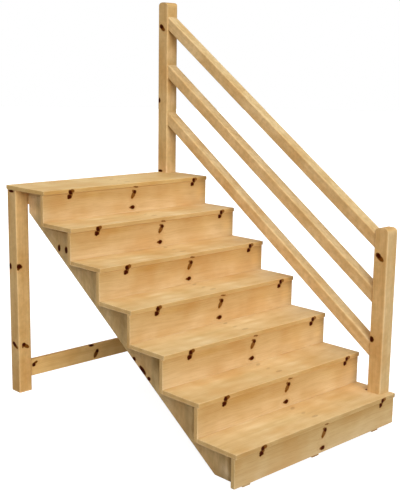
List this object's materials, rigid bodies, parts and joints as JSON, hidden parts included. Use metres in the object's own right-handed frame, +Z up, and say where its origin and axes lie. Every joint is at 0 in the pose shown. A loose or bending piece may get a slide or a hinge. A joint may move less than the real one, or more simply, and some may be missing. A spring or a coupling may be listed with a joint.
{
  "type": "outdoor wooden stairs",
  "caption": "Straight timber stair with closed risers, a landing board at the top and a sloping guard rail between two newel posts on the right-hand side.",
  "frame": {"origin": "on the ground, in the middle of the footprint", "axes": "+X to the right of someone going up, +Y the way they go, +Z up"},
  "size_m": [1.245, 1.877, 2.319],
  "materials": {
    "tread_boards": "planed pine, bare",
    "riser_boards": "planed pine, bare",
    "stringers": "planed pine, bare",
    "posts": "planed pine, bare",
    "rails": "planed pine, bare",
    "back_frame": "planed pine, bare"
  },
  "bodies": {
    "root": {"tread_1": "tread_boards", "tread_2": "tread_boards", "tread_3": "tread_boards", "tread_4": "tread_boards", "tread_5": "tread_boards", "tread_6": "tread_boards", "landing": "tread_boards", "riser_1": "riser_boards", "riser_2": "riser_boards", "riser_3": "riser_boards", "riser_4": "riser_boards", "riser_5": "riser_boards", "riser_6": "riser_boards", "riser_7": "riser_boards", "stringer_left": "stringers", "stringer_centre": "stringers", "stringer_right": "stringers", "back_leg_left": "posts", "upper_newel": "posts", "lower_newel": "posts", "rail_top": "rails", "rail_middle": "rails", "rail_bottom": "rails", "back_beam": "back_frame", "back_brace": "back_frame"}
  },
  "joints": []
}
